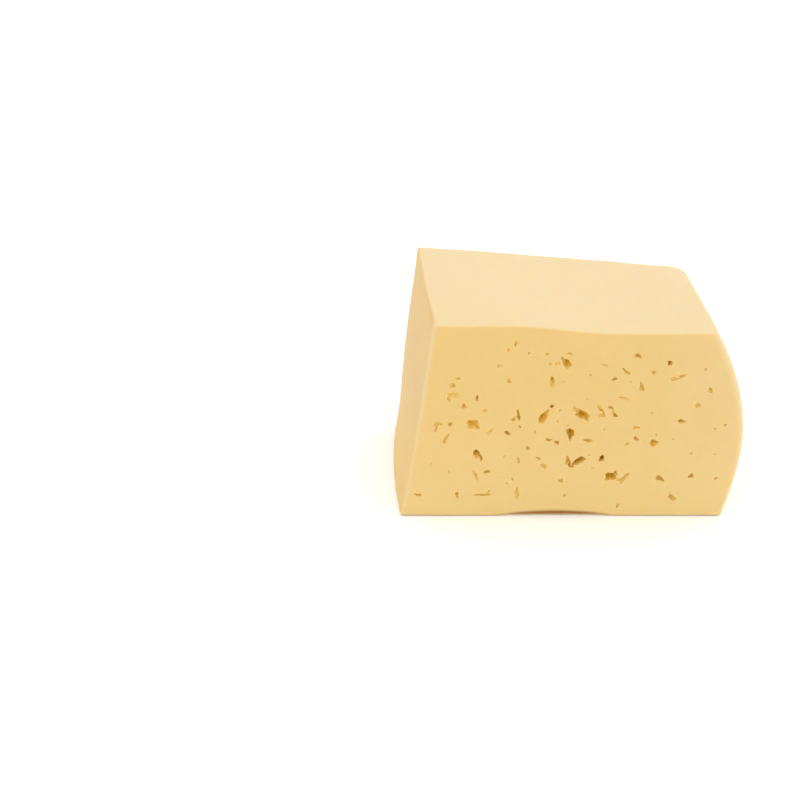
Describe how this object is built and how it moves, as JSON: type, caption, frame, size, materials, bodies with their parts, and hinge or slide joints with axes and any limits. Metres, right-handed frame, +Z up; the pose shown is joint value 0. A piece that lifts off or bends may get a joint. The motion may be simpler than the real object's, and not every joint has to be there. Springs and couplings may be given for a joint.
{
  "type": "cheese block",
  "caption": "Rindless block of pale semi-hard cheese: eyed cut face at the front, smooth top, leaning left side and bulging right side.",
  "frame": {"origin": "middle of the block's bounding box, on the table", "axes": "+X along the front cut to the right, +Y from the front cut to the back cut, +Z up"},
  "size_m": [0.1444, 0.087, 0.0878],
  "materials": {
    "cheese_paste": "matt to softly moist cut cheese, warm pale yellow, slightly translucent"
  },
  "bodies": {
    "root": {"cheese_block": "cheese_paste"}
  },
  "joints": []
}
